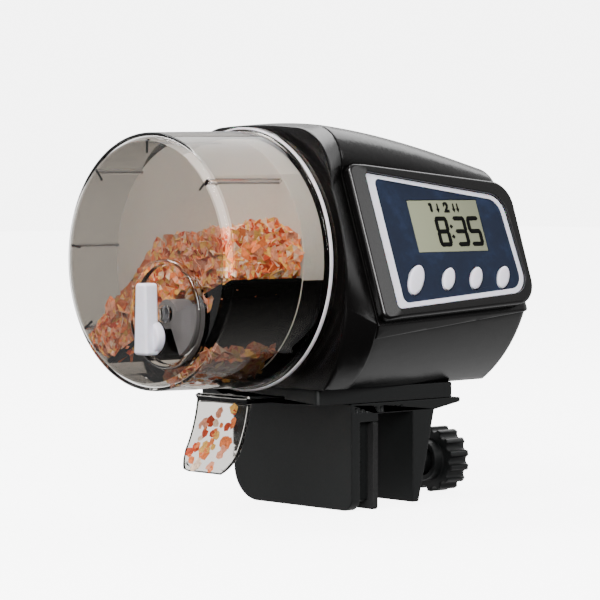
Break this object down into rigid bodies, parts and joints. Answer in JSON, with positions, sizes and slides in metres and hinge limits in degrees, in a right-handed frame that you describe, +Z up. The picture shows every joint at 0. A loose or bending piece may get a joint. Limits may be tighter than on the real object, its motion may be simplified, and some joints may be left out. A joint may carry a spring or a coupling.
{
  "type": "automatic pet feeder",
  "caption": "Clamp-on automatic fish feeder: a clear turning food drum with a portion lever on a black geared housing with display, buttons, curved chute and screw clamp.",
  "frame": {"origin": "middle of the clamp slot's ceiling, where the tank's rim sits", "axes": "+X along the drum's axis from drum to housing, +Y away from the control panel's side, +Z up"},
  "size_m": [0.1136, 0.0729, 0.0969],
  "materials": {
    "smoke_clear": "smoke-tinted clear, polished",
    "clear": "clear, polished",
    "pane": "clear, polished",
    "gloss_black": "polished",
    "matt_black": "fine moulded texture",
    "rubber": "matt",
    "panel_blue": "satin printed sheet",
    "white": "satin",
    "grey": "satin",
    "display": "satin",
    "board": "solder mask",
    "chip": "moulded",
    "gear": "natural nylon",
    "brass": "turned",
    "steel": "zinc plated",
    "cell": "plain wrap",
    "food": "dry pressed flakes"
  },
  "bodies": {
    "bracket": {"clamp_bracket": "matt_black", "grip_pad": "rubber"},
    "pressure_foot": {"pressure_pad": "rubber"},
    "screw": {"clamp_screw": "matt_black", "clamp_knob": "matt_black"},
    "housing": {"front_collar": "gloss_black", "main_cover": "gloss_black", "lower_shell": "gloss_black", "control_bezel": "gloss_black", "panel_overlay": "panel_blue", "panel_border": "white", "lcd_window": "pane", "lcd_module": "display", "circuit_board": "board", "tact_switches": "chip", "control_chip": "chip", "gear_plate": "grey", "axle_pins": "steel", "plate_screws": "steel", "motor": "steel", "battery_tray": "matt_black", "battery_cells": "cell", "battery_contacts": "steel", "mounting_base": "matt_black", "base_screws": "steel", "chute": "clear"},
    "drive": {"drive_gear": "gear"},
    "drum": {"drum_shell": "smoke_clear", "drum_lid": "grey", "hopper_divider": "matt_black", "food_heap": "food", "food_portion": "food"},
    "regulator": {"feed_gate": "grey", "portion_lever": "white"},
    "second_idler": {"second_idler_gear": "gear"},
    "first_idler": {"first_idler_gear": "gear"},
    "rotor": {"motor_shaft": "steel", "motor_pinion": "brass"},
    "door": {"battery_door": "gloss_black"},
    "set_button": {"set_button": "white"},
    "first_meal_button": {"first_meal_button": "white"},
    "second_meal_button": {"second_meal_button": "white"},
    "feed_button": {"feed_button": "white"}
  },
  "joints": [
    {"name": "foot_travel", "type": "slide", "parent": "bracket", "child": "pressure_foot", "axis": [-1, 0, 0], "range_m": [0, 0.01]},
    {"name": "screw_turn", "type": "hinge", "parent": "pressure_foot", "child": "screw", "pos_m": [0.02, 0, -0.0155], "axis": [-1, 0, 0], "range_deg": [0, 1800]},
    {"name": "feeder_slide", "type": "slide", "parent": "bracket", "child": "housing", "axis": [-1, 0, 0], "range_m": [0, 0.04]},
    {"name": "drum_turn", "type": "hinge", "parent": "housing", "child": "drive", "pos_m": [-0.0245, 0, 0.0386], "axis": [1, 0, 0], "continuous": true},
    {"name": "drum_pull", "type": "slide", "parent": "drive", "child": "drum", "axis": [-1, 0, 0], "range_m": [0, 0.02]},
    {"name": "portion_turn", "type": "hinge", "parent": "drum", "child": "regulator", "pos_m": [-0.0645, -0.0095, 0.0263], "axis": [1, 0, 0], "range_deg": [-45, 45]},
    {"name": "second_idler_turn", "type": "hinge", "parent": "housing", "child": "second_idler", "pos_m": [-0.0205, 0.01204, 0.02263], "axis": [1, 0, 0], "continuous": true},
    {"name": "first_idler_turn", "type": "hinge", "parent": "housing", "child": "first_idler", "pos_m": [-0.0185, 0.01894, 0.03458], "axis": [1, 0, 0], "continuous": true},
    {"name": "motor_turn", "type": "hinge", "parent": "housing", "child": "rotor", "pos_m": [-0.0165, 0.01331, 0.04432], "axis": [1, 0, 0], "continuous": true},
    {"name": "door_pull", "type": "slide", "parent": "housing", "child": "door", "axis": [1, 0, 0], "range_m": [0, 0.012]},
    {"name": "set_button_press", "type": "slide", "parent": "housing", "child": "set_button", "axis": [0, 0.9397, -0.342], "range_m": [0, 0.0008], "stiffness_N_per_m": 600},
    {"name": "first_meal_button_press", "type": "slide", "parent": "housing", "child": "first_meal_button", "axis": [0, 0.9397, -0.342], "range_m": [0, 0.0008], "stiffness_N_per_m": 600},
    {"name": "second_meal_button_press", "type": "slide", "parent": "housing", "child": "second_meal_button", "axis": [0, 0.9397, -0.342], "range_m": [0, 0.0008], "stiffness_N_per_m": 600},
    {"name": "feed_button_press", "type": "slide", "parent": "housing", "child": "feed_button", "axis": [0, 0.9397, -0.342], "range_m": [0, 0.0008], "stiffness_N_per_m": 600}
  ],
  "couplings": [
    {"joint": "screw_turn", "follows": "foot_travel", "rad_per_m": 3141.6},
    {"joint": "second_idler_turn", "follows": "drum_turn", "ratio": -4},
    {"joint": "first_idler_turn", "follows": "drum_turn", "ratio": 14.4},
    {"joint": "motor_turn", "follows": "drum_turn", "ratio": -57.6}
  ]
}
